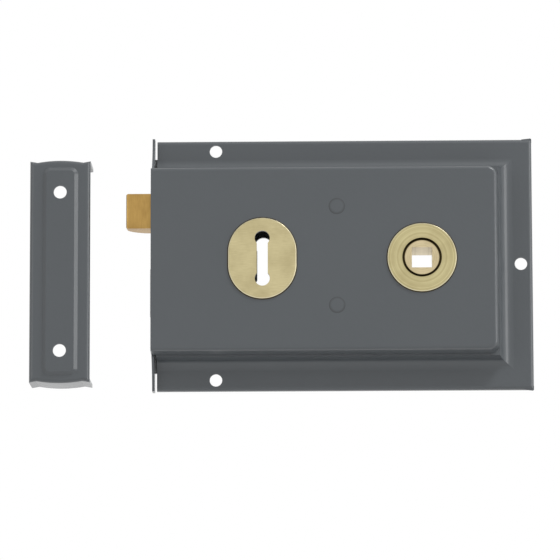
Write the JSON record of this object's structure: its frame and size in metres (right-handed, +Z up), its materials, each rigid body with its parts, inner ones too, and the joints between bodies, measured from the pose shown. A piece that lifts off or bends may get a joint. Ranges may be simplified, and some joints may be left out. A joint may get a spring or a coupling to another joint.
{
  "type": "rim box lock",
  "caption": "Surface-mounted box lock with a bevelled spring latch, a key-thrown deadbolt, brass keyhole plate and spindle bush, and a separate box keep.",
  "frame": {"origin": "middle of the lock case, on the plane of the door's surface that its back plate lies on", "axes": "+X along the lock away from the door's edge, +Y into the door, +Z up"},
  "size_m": [0.2008, 0.0208, 0.1024],
  "materials": {
    "grey_paint": "semi-gloss stoved grey paint on pressed steel",
    "painted_pillar": "riveted pillar ends painted with the case",
    "trim_brass": "dull pale brass",
    "follower_brass": "cast brass",
    "latch_brass": "worn brass",
    "lever_brass": "rolled brass",
    "bolt_steel": "ground steel",
    "steel": "mill steel",
    "spring_steel": "blued spring steel"
  },
  "bodies": {
    "case": {"case_shell": "grey_paint", "back_plate": "grey_paint", "forend_plate": "grey_paint", "forend_rivets": "steel", "keyhole_escutcheon": "trim_brass", "spindle_bush": "trim_brass", "pillar_upper": "painted_pillar", "pillar_lower": "painted_pillar", "pillar_screws": "steel", "latch_spring_post": "steel", "latch_spring": "spring_steel", "lever_spring_front": "spring_steel", "lever_spring_rear": "spring_steel", "lever_spacer": "steel", "keep_shell": "grey_paint"},
    "follower": {"follower": "follower_brass"},
    "latch": {"latch_bolt": "latch_brass", "latch_tail": "steel", "latch_rivets": "steel", "latch_spring_guide": "steel"},
    "deadbolt": {"deadbolt_head": "bolt_steel", "deadbolt_tail": "steel", "deadbolt_rivets": "steel", "bolt_stump": "steel"},
    "lever_front": {"lever_front": "lever_brass"},
    "lever_rear": {"lever_rear": "lever_brass"}
  },
  "joints": [
    {"name": "follower_turn", "type": "hinge", "parent": "case", "child": "follower", "pos_m": [0.03175, -0.01, 0], "axis": [0, 1, 0], "range_deg": [0, 42.45]},
    {"name": "latch_slide", "type": "slide", "parent": "case", "child": "latch", "axis": [1, 0, 0], "range_m": [0, 0.01], "stiffness_N_per_m": 300, "springref_m": -0.01, "deforming": ["latch_spring"]},
    {"name": "deadbolt_slide", "type": "slide", "parent": "case", "child": "deadbolt", "axis": [-1, 0, 0], "range_m": [0, 0.0127]},
    {"name": "lever_front_lift", "type": "hinge", "parent": "case", "child": "lever_front", "pos_m": [-0.0032, -0.0106, -0.0199], "axis": [0, -1, 0], "range_deg": [0, 6.06], "deforming": ["lever_spring_front"]},
    {"name": "lever_rear_lift", "type": "hinge", "parent": "case", "child": "lever_rear", "pos_m": [-0.0032, -0.0084, -0.0199], "axis": [0, -1, 0], "range_deg": [0, 4.77], "deforming": ["lever_spring_rear"]}
  ],
  "couplings": [
    {"joint": "follower_turn", "follows": "latch_slide", "rad_per_m": 74.074},
    {"joint": "lever_front_lift", "follows": "deadbolt_slide", "rad_per_m": 8.3197},
    {"joint": "lever_rear_lift", "follows": "deadbolt_slide", "rad_per_m": 6.5369}
  ]
}
